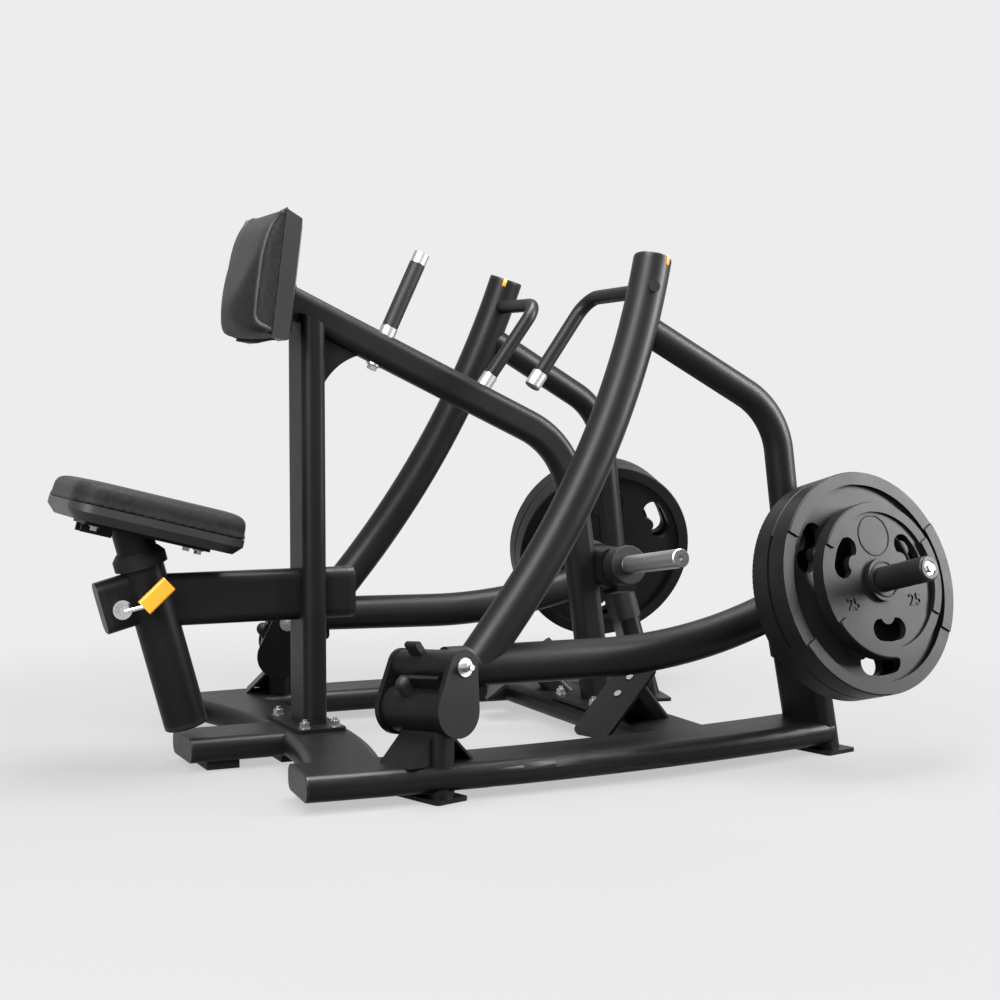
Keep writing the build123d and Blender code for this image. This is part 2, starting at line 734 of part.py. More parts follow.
def foot_frame():
    """Plane of the foot plate's front face; X runs up the plate and Z to the user."""
    turn = radians(FOOT_TURN)
    slope = radians(FOOT_PLATE_SLOPE)
    ahead = Vector(cos(turn), sin(turn), 0)
    across = Vector(-sin(turn), cos(turn), 0)
    up = ahead * cos(slope) + Vector(0, 0, sin(slope))
    centre = vec(FOOT_PLATE_CORNER) + across * (FOOT_PLATE_WIDE / 2) + up * (FOOT_PLATE_LONG / 2)
    return Plane(origin=centre, x_dir=up, z_dir=up.cross(across)), ahead, across


def make_foot_plate():
    plane = foot_frame()[0]
    plate = extrude(plane * RectangleRounded(FOOT_PLATE_LONG, FOOT_PLATE_WIDE, 18), -7)
    for x in (14, 62):
        plate = plate - plane * Pos(x, 0, -5) * Cylinder(5, 30)
    return plate


def make_foot_leg():
    plane, ahead, across = foot_frame()
    start = (plane * Pos(34, 0, -6)).position
    down = (ahead - Vector(0, 0, 1)).normalized()
    reach = (start.Z - RAIL_TOP + 45) / -down.Z
    leg = flat_tube(start - down * 45, start + down * reach, across, 96, 50, 16)
    leg = leg - plane * Pos(0, 0, 93) * Box(500, 500, 200)
    leg = leg - Pos(start.X, start.Y, RAIL_TOP - 50) * Box(500, 500, 100)
    return max(leg.solids(), key=lambda solid: solid.volume)


def make_foot_bolts():
    plane = foot_frame()[0]
    shape = None
    for x in (14, 62):
        head = plane * Pos(x, 0, 1.5) * Cylinder(8, 3)
        bolt = head + plane * Pos(x, 0, -3.5) * Cylinder(5, 7)
        shape = bolt if shape is None else shape + bolt
    return shape


# ------------------------------------------------------------ lever arm
def pivot_tube_solid(radius, half):
    return pivot_barrel(radius, PIVOT_TUBE_OFFSET, -half, half)


def make_pivot_tube():
    half = PIVOT_HALF - PIVOT_PLATE - 0.3
    tube = pivot_tube_solid(31.5, half) - pivot_tube_solid(26, half - 22)
    tube = tube - pivot_tube_solid(8.05, 100)
    gap_x, gap_y = PIVOT_TUBE_OFFSET
    lug = pivot_plane(-16) * Pos(gap_x, gap_y, 0) * Rot(0, 0, 125) * Pos(43, 0, 0) * Box(30, 13, 34)
    lug = fillet(lug.edges().filter_by(Axis((0, 0, 0), pivot_axis())), 5)
    lug = lug - pivot_tube_solid(31.5, 90)
    return tube + lug


def lever_path():
    return straight_then_curve((174.5, -453.0, 239.8), (251, -444.8, 333.3), (609, -352, 1013))


def lower_path():
    return straight_then_curve((114, -457, 240.7), (450, -435, 236), (962, -391, 345))


def lower_outer():
    return swept_round(lower_path(), LOWER_RADIUS, 0)


def lower_cap():
    path = lower_path()
    return rod(path @ 1, (path @ 1) + (path % 1) * 6, LOWER_RADIUS)


def lower_foot():
    """The steel foot under the arm that lands on the rest cap."""
    return Pos(946, -385, 288) * Rot(0, 0, 14) * Box(46, 70, 39.4) - lower_outer() - lower_cap()


def lower_whole():
    return lower_outer() + lower_cap() + lower_foot()


def make_lower_tube():
    tube = swept_round(lower_path(), LOWER_RADIUS, 4) - pivot_tube_solid(31.5, 90)
    tube = max(tube.solids(), key=lambda solid: solid.volume)
    web = Box(44, 12, 34)
    web = fillet(web.edges().filter_by(Axis.Y).sort_by(Axis.Z)[:2], 10)
    web = Pos(178, -452, 196) * Rot(0, 0, 4) * web
    return tube + lower_cap() + (web - lower_outer()) + lower_foot()


def make_lever():
    lever = swept_round(lever_path(), LEVER_RADIUS, 4) - lower_outer()
    return max(lever.solids(), key=lambda solid: solid.volume)


def make_upper_tube():
    path = bent_path((560, -367, 893.3), (880.5, -386, 711.9), (925, -392, 335), 160)
    tube = swept_round(path, UPPER_RADIUS, 3.5)
    tube = tube - swept_round(lever_path(), LEVER_RADIUS, 0) - lower_whole()
    return max(tube.solids(), key=lambda solid: solid.volume)


def make_lever_cap():
    path = lever_path()
    start, heading = path @ 1, path % 1
    cap = rod(start, start + heading * 9, LEVER_RADIUS)
    cap = fillet(cap.faces().sort_by(Axis(start, heading))[-1].edges(), 4)
    plug_at = path @ 0.93
    outward = square_to(Vector(-0.18, -1, 0), path % 0.93)
    plug = rod(plug_at + outward * 30, plug_at + outward * 42, 12)
    return cap + (plug - swept_round(path, LEVER_RADIUS, 0))


def handle_path():
    return bent_path((590, -361, 955), (583, -122, 951), (450, -127, 765), 45)


def make_handle():
    bar_solid = swept_round(handle_path(), 15, 0) - swept_round(lever_path(), LEVER_RADIUS, 0)
    bar_solid = max(bar_solid.solids(), key=lambda solid: solid.volume)
    end = handle_path() @ 1
    back = -(handle_path() % 1)
    return bar_solid - rod(end, end + back * 34, 40)


def make_handle_tip():
    end = handle_path() @ 1
    back = -(handle_path() % 1)
    tip = rod(end, end + back * 34, 17)
    return fillet(tip.faces().sort_by(Axis(end, back))[0].edges(), 3)


def horn_point(distance):
    return along(HORN_ROOT, HORN_AXIS, distance)


def make_horn():
    horn = rod(horn_point(0), horn_point(HORN_LONG), HORN_RADIUS) - lower_whole()
    horn = max(horn.solids(), key=lambda solid: solid.center().Y * -1)
    horn = fillet(horn.faces().sort_by(Axis(vec(HORN_ROOT), vec(HORN_AXIS)))[-1].edges(), 5)
    flange = rod(horn_point(BIG_PLATE_INNER - 10.3), horn_point(BIG_PLATE_INNER - 0.3), 42)
    horn = horn + flange
    recess = rod(horn_point(HORN_LONG - 4), horn_point(HORN_LONG + 5), 14)
    return horn - recess - ring_groove(HORN_ROOT, HORN_AXIS, HORN_GROOVE, HORN_RADIUS)


def make_horn_bolt():
    return hex_bolt(horn_point(HORN_LONG - 4), HORN_AXIS, 15, 7, 13, 2)


# ---------------------------------------------------------------- plates
def plate_plane(distance):
    axis = vec(HORN_AXIS).normalized()
    up = square_to(Vector(0, 0, 1), axis)
    return Plane(origin=horn_point(distance), x_dir=up, z_dir=axis)


def grip_slot(radius, long, wide):
    """Kidney slot centred on the plane's Y axis side, following the disc's rim."""
    half = degrees(atan2(long / 2 - wide / 2, radius))
    ring = Circle(radius + wide / 2) - Circle(radius - wide / 2)
    wedge = Polyline((0, 0), (400 * cos(radians(half)), 400 * sin(radians(half))),
                     (400 * cos(radians(half)), -400 * sin(radians(half))), close=True)
    slot = ring & make_face(wedge)
    for side in (-1, 1):
        spot = (radius * cos(radians(half)), side * radius * sin(radians(half)))
        slot = slot + Pos(*spot) * Circle(wide / 2)
    return slot - Pos(radius - wide / 2 - 8, 0) * Circle(18)


def rim_sector(radius, middle):
    """A sixty degree sector of the disc, centred on a direction."""
    reach = 2 * radius
    corners = [(0, 0)]
    corners += [(reach * cos(radians(middle + turn)), reach * sin(radians(middle + turn))) for turn in (-30, 30)]
    return Circle(radius + 5) & make_face(Polyline(*corners, close=True))


def weight_plate(low, thick, radius, slot_radius, slot_long, slot_wide, rim):
    disc = extrude(plate_plane(low) * Circle(radius), thick)
    disc = fillet(disc.edges(), 3)
    for middle in (90, 210, 330):
        step = rim_sector(radius, middle) - Circle(radius - rim - 8)
        disc = disc - extrude(plate_plane(low + thick - 4) * step, 6)
    disc = disc - extrude(plate_plane(low - 1) * Circle(PLATE_BORE), thick + 2)
    dish = Circle(radius - rim) - Circle(43)
    disc = disc - extrude(plate_plane(low + thick) * dish, -thick * 0.28)
    disc = disc - extrude(plate_plane(low) * dish, thick * 0.28)
    for turn in (180, 60, -60):
        slot = Rot(0, 0, turn) * grip_slot(slot_radius, slot_long, slot_wide)
        disc = disc - extrude(plate_plane(low - 1) * slot, thick + 2)
    return disc


def make_big_plates():
    shape = None
    for index in range(2):
        low = BIG_PLATE_INNER + index * BIG_PLATE_THICK
        disc = weight_plate(low, BIG_PLATE_THICK - 0.4, BIG_PLATE_RADIUS, 160, 108, 48, 26)
        shape = disc if shape is None else shape + disc
    return shape


def make_small_plate():
    low = BIG_PLATE_INNER + 2 * BIG_PLATE_THICK
    return weight_plate(low, SMALL_PLATE_THICK, SMALL_PLATE_RADIUS, 100, 88, 44, 20)


# ---------------------------------------------------------------- write out

def build_nodes():
    nodes = {
        "side_rails": both_sides(make_side_rail()),
        "front_crossmember": make_front_crossmember(),
        "rear_crossmember": make_rear_crossmember(),
        "centre_foot_rail": make_centre_foot_rail(),
        "tube_end_caps": make_tube_end_caps(),
        "rubber_feet": make_rubber_feet(),
        "base_plates": make_base_plates(),
        "frame_bolts": make_frame_bolts() + both_sides(make_foot_bolts()),
        "front_post": make_front_post(),
        "beam_gusset": make_beam_gusset(),
        "main_beam": make_main_beam(),
        "seat_beam": make_seat_beam(),
        "seat_sleeve": make_seat_sleeve(),
        "seat_collar": make_seat_collar(),
        "pin_bushing": make_pin_bushing(),
        "pivot_stands": both_sides(make_pivot_stand()),
        "floor_pads": both_sides(make_floor_pad()),
        "pivot_housings": both_sides(make_pivot_housing()),
        "pivot_shafts": both_sides(make_pivot_shaft()),
        "stop_bumpers": both_sides(make_stop_bumper()),
        "rest_posts": both_sides(make_rest_post()),
        "rest_caps": both_sides(make_rest_cap()),
        "storage_mount": make_storage_mount(),
        "storage_horns": both_sides(make_storage_horn()),
        "storage_discs": both_sides(make_storage_disc()),
        "foot_plates": both_sides(make_foot_plate()),
        "foot_legs": both_sides(make_foot_leg()),
        "assist_bar": make_assist_bar(),
        "assist_grip": make_assist_grip(),
        "assist_ferrules": make_assist_ferrules(),
        "chest_pad": make_chest_pad(),
        "chest_shell": make_chest_shell(),
        "chest_plate": make_chest_plate(),
        "seat_pad": make_seat_pad(),
        "seat_shell": make_seat_shell(),
        "seat_bracket": make_seat_bracket(),
        "seat_post": make_seat_post(),
        "seat_bolts": make_seat_bolts(),
        "seat_lever_rod": make_seat_lever_rod(),
        "seat_lever_grip": make_seat_lever_grip(),
    }
    arm = {
        "pivot_tube": make_pivot_tube(),
        "lower_tube": make_lower_tube(),
        "lever": make_lever(),
        "upper_tube": make_upper_tube(),
        "lever_cap": make_lever_cap(),
        "handle": make_handle(),
        "fittings": make_handle_tip() + make_horn_bolt(),
        "horn": make_horn(),
        "big_plates": make_big_plates(),
        "small_plate": make_small_plate(),
    }
    for name, shape in arm.items():
        nodes["right_" + name] = shape
        nodes["left_" + name] = mirror(shape, about=Plane.XZ)
    return nodes


def write_nodes():
    os.makedirs("parts", exist_ok=True)
    for name, shape in build_nodes().items():
        moved = Pos(-ORIGIN_X, 0, 0) * shape
        export_step(moved, "parts/" + name + ".step")


write_nodes()
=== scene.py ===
"""Visual model of a plate-loaded seated row station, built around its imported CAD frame.

Metres, in the row frame: +X runs to the weight plates, +Y to the user's left, +Z up.
The right side of the machine is the -Y side, which faces the camera.
"""
import json
import math

import bpy
import numpy as np
from mathutils import Matrix, Vector
from mathutils.bvhtree import BVHTree


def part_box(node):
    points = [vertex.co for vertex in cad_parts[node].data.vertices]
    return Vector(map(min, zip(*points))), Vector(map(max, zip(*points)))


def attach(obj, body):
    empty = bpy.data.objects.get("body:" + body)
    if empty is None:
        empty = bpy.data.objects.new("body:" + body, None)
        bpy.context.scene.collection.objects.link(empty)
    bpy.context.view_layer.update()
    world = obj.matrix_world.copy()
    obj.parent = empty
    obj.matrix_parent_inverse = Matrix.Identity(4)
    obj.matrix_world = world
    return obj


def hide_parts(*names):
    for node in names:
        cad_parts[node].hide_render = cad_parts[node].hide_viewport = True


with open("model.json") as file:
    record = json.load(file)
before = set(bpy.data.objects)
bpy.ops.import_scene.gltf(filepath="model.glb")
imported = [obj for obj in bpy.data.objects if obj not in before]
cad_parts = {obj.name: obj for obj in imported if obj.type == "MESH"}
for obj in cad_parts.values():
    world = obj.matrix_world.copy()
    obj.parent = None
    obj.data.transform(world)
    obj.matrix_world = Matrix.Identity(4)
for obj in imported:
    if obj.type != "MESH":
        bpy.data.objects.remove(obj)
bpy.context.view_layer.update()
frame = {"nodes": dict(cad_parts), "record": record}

LAYOUT_X = -0.3387          # from the part's own layout point to the row origin

PAD_ORIGIN = Vector((-0.0438 + LAYOUT_X, 0, 0.859))
PAD_LEAN = math.radians(7.3)
PAD_FORWARD = Vector((-math.cos(PAD_LEAN), 0, math.sin(PAD_LEAN)))
PAD_UP = Vector((math.sin(PAD_LEAN), 0, math.cos(PAD_LEAN)))
SEAM_RADIUS = 0.2153
SEAM_CENTRE = 0.2433

SEAT_ORIGIN = Vector((-0.3392 + LAYOUT_X, 0, 0.486))
SEAT_TILT = math.radians(14.5)
SEAT_UP = Vector((math.sin(SEAT_TILT), 0, math.cos(SEAT_TILT)))
SEAT_SEAM = 0.020
ACROSS = Vector((0, 1, 0))

HORN_ROOT = Vector((0.942 + LAYOUT_X, -0.392, 0.322))
HORN_AXIS = Vector((0.1434, -0.956, 0.254)).normalized()
SMALL_PLATE_FACE = 0.2505
SMALL_PLATE_DISH = 0.2407
BIG_PLATE_BACK = 0.1155
BIG_PLATE_BACK_DISH = 0.1294

LEVER_FOOT = Vector((0.1745 + LAYOUT_X, -0.453, 0.2398))
LEVER_BEND = Vector((0.251 + LAYOUT_X, -0.4448, 0.3333))
LEVER_TOP = Vector((0.609 + LAYOUT_X, -0.352, 1.013))
LEVER_RADIUS = 0.0386
CAP_THICK = 0.009
STRIPE_HALF_WIDE = 0.004

RIDGE_RADIUS = 0.0055       # the cushion's sewn ridge
RIDGE_SUNK = 0.0022

BACKGROUND = 0.847
SETTLING = 60               # averaging passes that take the small folds out of a swollen cushion


# ------------------------------------------------------------------ materials
def new_material(name):
    material = bpy.data.materials.new(name)
    material.use_nodes = True
    tree = material.node_tree
    return material, tree, tree.nodes["Principled BSDF"]


def add_node(tree, kind, **values):
    """A node with some of its inputs set by name."""
    node = tree.nodes.new(kind)
    for name, value in values.items():
        node.inputs[name.replace("_", " ")].default_value = value
    return node


def object_coordinates(tree):
    return tree.nodes.new("ShaderNodeTexCoord").outputs["Object"]


def tinted(tree, shader, source, dark, light):
    """Base colour that drifts between two tones with a texture."""
    ramp = tree.nodes.new("ShaderNodeValToRGB")
    ramp.color_ramp.elements[0].position = 0.3
    ramp.color_ramp.elements[1].position = 0.7
    ramp.color_ramp.elements[0].color = (*dark, 1)
    ramp.color_ramp.elements[1].color = (*light, 1)
    tree.links.new(source, ramp.inputs["Fac"])
    tree.links.new(ramp.outputs["Color"], shader.inputs["Base Color"])


def varied_roughness(tree, shader, source, low, high):
    span = tree.nodes.new("ShaderNodeMapRange")
    span.inputs["To Min"].default_value = low
    span.inputs["To Max"].default_value = high
    tree.links.new(source, span.inputs["Value"])
    tree.links.new(span.outputs["Result"], shader.inputs["Roughness"])


def bumped(tree, shader, source, strength, depth, previous=None):
    bump = add_node(tree, "ShaderNodeBump", Strength=strength, Distance=depth)
    tree.links.new(source, bump.inputs["Height"])
    if previous is not None:
        tree.links.new(previous, bump.inputs["Normal"])
    tree.links.new(bump.outputs["Normal"], shader.inputs["Normal"])
    return bump.outputs["Normal"]


def noise(tree, scale, detail=3.0, stretch=None):
    place = object_coordinates(tree)
    if stretch:
        mapping = add_node(tree, "ShaderNodeMapping", Scale=stretch)
        tree.links.new(place, mapping.inputs["Vector"])
        place = mapping.outputs["Vector"]
    texture = add_node(tree, "ShaderNodeTexNoise", Scale=scale, Detail=detail)
    tree.links.new(place, texture.inputs["Vector"])
    return texture.outputs["Fac"]


def cells(tree, scale):
    texture = add_node(tree, "ShaderNodeTexVoronoi", Scale=scale)
    texture.feature = "DISTANCE_TO_EDGE"
    tree.links.new(object_coordinates(tree), texture.inputs["Vector"])
    return texture.outputs["Distance"]


def painted(name, dark, light, rough, gloss, peel_scale, peel):
    """Coated metal: broad colour drift, uneven gloss and an orange-peel surface."""
    material, tree, shader = new_material(name)
    shader.inputs["Specular IOR Level"].default_value = gloss
    tinted(tree, shader, noise(tree, 7.0), dark, light)
    varied_roughness(tree, shader, noise(tree, 22.0), rough - 0.05, rough + 0.05)
    bumped(tree, shader, noise(tree, peel_scale, 2.0), peel, 0.0006)
    return material


def moulded(name, dark, light, rough, gloss, grain_scale, grain):
    """Plastic or rubber with a fine moulded texture."""
    material, tree, shader = new_material(name)
    shader.inputs["Specular IOR Level"].default_value = gloss
    tinted(tree, shader, noise(tree, 12.0), dark, light)
    varied_roughness(tree, shader, noise(tree, 40.0), rough - 0.06, rough + 0.06)
    bumped(tree, shader, noise(tree, grain_scale, 4.0), grain, 0.0008)
    return material


def vinyl(name, dark, light, rough, gloss):
    """Upholstery vinyl: leather cells, fine pores and soft wrinkles."""
    material, tree, shader = new_material(name)
    shader.inputs["Specular IOR Level"].default_value = gloss
    shader.inputs["Sheen Weight"].default_value = 0.02
    shader.inputs["Sheen Roughness"].default_value = 0.5
    tinted(tree, shader, noise(tree, 160.0, 5.0), dark, light)
    varied_roughness(tree, shader, noise(tree, 30.0), rough - 0.06, rough + 0.06)
    soft = bumped(tree, shader, noise(tree, 14.0, 2.0), 0.04, 0.004)
    grain = bumped(tree, shader, cells(tree, 420.0), 0.45, 0.0009, soft)
    bumped(tree, shader, noise(tree, 900.0, 3.0), 0.2, 0.0005, grain)
    return material


def brushed(name, tone, rough, stretch, lines):
    """Bare metal with fine drawn lines."""
    material, tree, shader = new_material(name)
    shader.inputs["Metallic"].default_value = 1.0
    dark = tuple(0.86 * part for part in tone)
    tinted(tree, shader, noise(tree, 18.0), dark, tone)
    streaks = noise(tree, 60.0, 4.0, stretch)
    varied_roughness(tree, shader, streaks, rough - 0.05, rough + 0.08)
    bumped(tree, shader, streaks, lines, 0.0004)
    return material


MATERIALS = {
    "frame_black": painted("satin powder coat", (0.0016, 0.0016, 0.0018), (0.0028, 0.0028, 0.0030),
                           0.42, 0.11, 700, 0.06),
    "cap_grey": moulded("moulded cap", (0.0035, 0.0035, 0.0037), (0.0055, 0.0055, 0.0058),
                        0.36, 0.12, 900, 0.15),
    "black_rubber": moulded("matt rubber", (0.0025, 0.0025, 0.0026), (0.0045, 0.0045, 0.0047),
                            0.56, 0.14, 500, 0.30),
    "zinc": brushed("zinc plate", (0.34, 0.34, 0.35), 0.34, (1, 1, 1), 0.1),
    "pad_vinyl": vinyl("grained vinyl", (0.0030, 0.0030, 0.0031), (0.0065, 0.0065, 0.0067), 0.55, 0.05),
    "pad_shell": moulded("smooth shell", (0.0085, 0.0085, 0.0088), (0.0110, 0.0110, 0.0114),
                         0.38, 0.16, 1200, 0.05),
    "bare_aluminium": brushed("satin aluminium", (0.34, 0.34, 0.35), 0.36, (1, 12, 12), 0.15),
    "chrome_trim": brushed("polished chrome", (0.62, 0.62, 0.63), 0.12, (1, 1, 1), 0.03),
    "plate_black": painted("plate enamel", (0.0022, 0.0022, 0.0024), (0.0038, 0.0038, 0.0040),
                           0.42, 0.08, 260, 0.20),
    "lever_orange": moulded("orange grip", (0.42, 0.140, 0.006), (0.48, 0.175, 0.010),
                            0.42, 0.3, 600, 0.15),
    "grip_black": moulded("grip rubber", (0.0030, 0.0030, 0.0031), (0.0050, 0.0050, 0.0052),
                          0.50, 0.14, 380, 0.5),
}
# Lighter copy of the cushion vinyl: a painted highlight along the sewn ridge, where the cushion's rounded
# edge catches the light.
RIDGE_PAINTED_HIGHLIGHT_VINYL = vinyl("ridge vinyl with painted highlight", (0.0060, 0.0060, 0.0062), (0.0095, 0.0095, 0.0098), 0.45, 0.16)

for part in frame["record"]["subparts"]:
    mesh = frame["nodes"][part["node"]].data
    mesh.materials.clear()
    mesh.materials.append(MATERIALS[part["material_slot"]])


# -------------------------------------------------------------------- meshes
def mesh_object(name, points, faces, slot, body, material=None):
    mesh = bpy.data.meshes.new(name)
    mesh.from_pydata([tuple(point) for point in points], [], faces)
    mesh.validate()
    mesh.polygons.foreach_set("use_smooth", [True] * len(mesh.polygons))
    mesh.materials.append(material or MATERIALS[slot])
    piece = bpy.data.objects.new(name, mesh)
    bpy.context.scene.collection.objects.link(piece)
    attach(piece, body)


def tube_along(name, path, normals, radius, slot, body, material=None, sides=10):
    """A tube through a line of points, closed at its two ends."""
    points = []
    last = len(path) - 1
    for index, centre in enumerate(path):
        run = (path[min(index + 1, last)] - path[max(index - 1, 0)]).normalized()
        out = (normals[index] - run * normals[index].dot(run)).normalized()
        side = run.cross(out)
        for step in range(sides):
            turn = 2 * math.pi * step / sides
            points.append(centre + (out * math.cos(turn) + side * math.sin(turn)) * radius)
    faces = [tuple(reversed(range(sides))), tuple(range(last * sides, (last + 1) * sides))]
    for index in range(last):
        for step in range(sides):
            following = (step + 1) % sides
            faces.append((index * sides + step, index * sides + following,
                          (index + 1) * sides + following, (index + 1) * sides + step))
    mesh_object(name, points, faces, slot, body, material)


def lathe(name, centre, axis, profile, slot, body, steps=64):
    """A closed profile of (radius, height) points turned about an axis."""
    axis = axis.normalized()
    side = axis.orthogonal().normalized()
    other = axis.cross(side)
    points = []
    for step in range(steps):
        turn = 2 * math.pi * step / steps
        out = side * math.cos(turn) + other * math.sin(turn)
        points += [centre + out * radius + axis * height for radius, height in profile]
    size = len(profile)
    faces = []
    for step in range(steps):
        after = (step + 1) % steps
        for index in range(size):
            following = (index + 1) % size
            faces.append((step * size + index, after * size + index,
                          after * size + following, step * size + following))
    mesh_object(name, points, faces, slot, body)


def mirrored(point, side):
    """The point on the right side (-1) as it is, or its mirror image on the left (+1)."""
    return Vector((point.x, point.y if side < 0 else -point.y, point.z))


# ------------------------------------------------------------------ cushions
def coordinates(mesh):
    values = np.empty(len(mesh.vertices) * 3)
    mesh.vertices.foreach_get("co", values)
    return values.reshape(-1, 3)


def apply_modifiers(piece):
    """Replaces the mesh with what its modifiers make of it."""
    graph = bpy.context.evaluated_depsgraph_get()
    mesh = bpy.data.meshes.new_from_object(piece.evaluated_get(graph))
    piece.modifiers.clear()
    piece.data = mesh


def padded_copy(name, node, above_seam, shrink, cap, smoothing, hold):
    """A cloth-inflated cushion grown from the node's solid.

    above_seam gives each point's height over the seam; within hold of it the points stay put.
    """
    source = frame["nodes"][node]
    piece = bpy.data.objects.new(name, source.data.copy())
    bpy.context.scene.collection.objects.link(piece)
    remesh = piece.modifiers.new("voxels", "REMESH")
    remesh.mode = "VOXEL"
    remesh.voxel_size = 0.005
    apply_modifiers(piece)
    start = coordinates(piece.data)
    low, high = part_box(node)
    middle = np.array((low + high) / 2)
    keep = np.clip(above_seam(start) / hold, 0, 1)
    keep = (keep * keep * (3 - 2 * keep))[:, None]
    smooth = piece.modifiers.new("rounding", "SMOOTH")
    smooth.factor = 0.5
    smooth.iterations = smoothing
    apply_modifiers(piece)
    soft = coordinates(piece.data)
    soft = start + (soft - start) * keep
    soft = middle + (soft - middle) * (1 - shrink * keep)
    piece.data.vertices.foreach_set("co", soft.ravel())
    swell(piece, soft, cap, keep)
    piece.data.materials.clear()
    piece.data.materials.append(MATERIALS["pad_vinyl"])
    piece.data.polygons.foreach_set("use_smooth", [True] * len(piece.data.polygons))
    divide = piece.modifiers.new("smooth", "SUBSURF")
    divide.levels = 1
    divide.render_levels = 1
    return piece


def swell(piece, soft, cap, keep):
    """Cloth under pressure, of which each point keeps its capped and evened rise."""
    cloth = piece.modifiers.new("cloth", "CLOTH")
    cloth.settings.use_pressure = True
    cloth.settings.uniform_pressure_force = 4.0
    cloth.settings.effector_weights.gravity = 0.0
    cloth.settings.quality = 5
    scene = bpy.context.scene
    for step in range(1, 21):
        scene.frame_set(step)
    graph = bpy.context.evaluated_depsgraph_get()
    moved = coordinates(piece.evaluated_get(graph).data)
    piece.modifiers.clear()
    scene.frame_set(1)
    normals = np.empty(soft.size)
    piece.data.vertex_normals.foreach_get("vector", normals)
    normals = normals.reshape(-1, 3)
    rise = np.clip(np.sum((moved - soft) * normals, axis=1), 0, cap)
    rise = evened(piece.data, rise) * keep[:, 0]
    piece.data.vertices.foreach_set("co", (soft + normals * rise[:, None]).ravel())
    piece.data.update()


def evened(mesh, values):
    """One value per point, averaged with its neighbours' again and again."""
    ends = np.empty(len(mesh.edges) * 2, dtype=np.int64)
    mesh.edges.foreach_get("vertices", ends)
    first, second = ends.reshape(-1, 2).T
    size = len(values)
    neighbours = np.maximum(np.bincount(first, minlength=size) + np.bincount(second, minlength=size), 1)
    for _ in range(SETTLING):
        total = np.bincount(first, values[second], size) + np.bincount(second, values[first], size)
        values = (values + total / neighbours) / 2
    return values


def chest_height(points):
    local = points - np.array(PAD_ORIGIN)
    forward = local @ np.array(PAD_FORWARD)
    return forward - (SEAM_CENTRE - np.sqrt(np.maximum(SEAM_RADIUS**2 - local[:, 1] ** 2, 0)))


def seat_height(points):
    return (points - np.array(SEAT_ORIGIN)) @ np.array(SEAT_UP) - SEAT_SEAM


def side_line(wide, edge, low, high, corner, side, steps=12):
    """A line down one side of the cushion, turned out to its edge at both ends."""
    turns = [math.radians(90 * step / steps) for step in range(steps + 1)]
    top = [(wide + corner - corner * math.sin(turn), high - corner + corner * math.cos(turn))
           for turn in turns]
    foot = [(across, low + high - up) for across, up in reversed(top)]
    return [(side * across, up) for across, up in [(edge, high), *top, *foot, (edge, low)]]


def spread(line, count):
    """The line again, as evenly spaced points."""
    points = np.array(line)
    lengths = np.concatenate([[0], np.cumsum(np.linalg.norm(np.diff(points, axis=0), axis=1))])
    spots = np.linspace(0, lengths[-1], count)
    return list(zip(np.interp(spots, lengths, points[:, 0]), np.interp(spots, lengths, points[:, 1])))


def laid_on(piece, loop, origin, across, up, out, reach):
    """The loop dropped onto the piece against the out direction, with the surface normals."""
    graph = bpy.context.evaluated_depsgraph_get()
    tree = BVHTree.FromObject(piece, graph)
    path, normals = [], []
    for first, second in loop:
        start = origin + across * first + up * second + out * reach
        spot, normal, _, _ = tree.ray_cast(start, -out)
        if spot is not None:
            path.append(spot)
            normals.append(normal)
    return path, normals


def make_chest_cushion():
    cushion = padded_copy("chest_cushion", "chest_pad", chest_height,
                          shrink=0.02, cap=0.006, smoothing=60, hold=0.022)
    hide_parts("chest_pad")
    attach(cushion, "frame")
    for side, label in ((-1, "right"), (1, "left")):
        line = spread(side_line(wide=0.109, edge=0.124, low=0.002, high=0.246, corner=0.034, side=side), 90)
        path, normals = laid_on(cushion, line, PAD_ORIGIN, ACROSS, PAD_UP, PAD_FORWARD, 0.3)
        path = [spot - normal * RIDGE_SUNK for spot, normal in zip(path, normals)]
        # The ridge tube wears the lighter vinyl, a painted highlight along the cushion's edge.
        tube_along("chest_ridge_" + label, path, normals, RIDGE_RADIUS, "pad_vinyl", "frame",
                   RIDGE_PAINTED_HIGHLIGHT_VINYL)


def make_seat_cushion():
    cushion = padded_copy("seat_cushion", "seat_pad", seat_height,
                          shrink=0.02, cap=0.007, smoothing=24, hold=0.014)
    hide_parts("seat_pad")
    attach(cushion, "seat")


make_chest_cushion()
make_seat_cushion()


# --------------------------------------------------------------- weight plates
def plate_frame(side):
    """Axis, up and right-hand directions of a plate's outer face."""
    axis = mirrored(HORN_AXIS, side)
    up = (Vector((0, 0, 1)) - axis * axis.z).normalized()
    return axis, up, up.cross(axis)


def plate_spot(side, distance, radius, angle):
    """A point on a plate: distance along the horn, then radius at an angle from the top."""
    axis, up, right = plate_frame(side)
    turn = math.radians(angle)
    centre = mirrored(HORN_ROOT, side) + axis * distance
    return centre + (up * math.cos(turn) + right * math.sin(turn)) * radius


def raised_number(name, side, angle, radius, height):
    """The plate's weight as raised figures standing on its dished face."""
    axis, up, right = plate_frame(side)
    curve = bpy.data.curves.new(name, "FONT")
    curve.body = "25"
    curve.size = height
    curve.extrude = 0.0012
    curve.bevel_depth = 0.0003
    curve.align_x = "CENTER"
    curve.align_y = "CENTER"
    text = bpy.data.objects.new(name + "_text", curve)
    bpy.context.scene.collection.objects.link(text)
    bpy.context.view_layer.update()
    mesh = bpy.data.meshes.new_from_object(text)
    bpy.data.objects.remove(text)
    spot = plate_spot(side, SMALL_PLATE_DISH + 0.0008, radius, angle)
    place = Matrix((right, up, axis)).transposed().to_4x4()
    place.translation = spot
    mesh.transform(place)
    mesh.materials.clear()
    mesh.materials.append(MATERIALS["plate_black"])
    piece = bpy.data.objects.new(name, mesh)
    bpy.context.scene.collection.objects.link(piece)
    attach(piece, ("right" if side < 0 else "left") + "_plates")


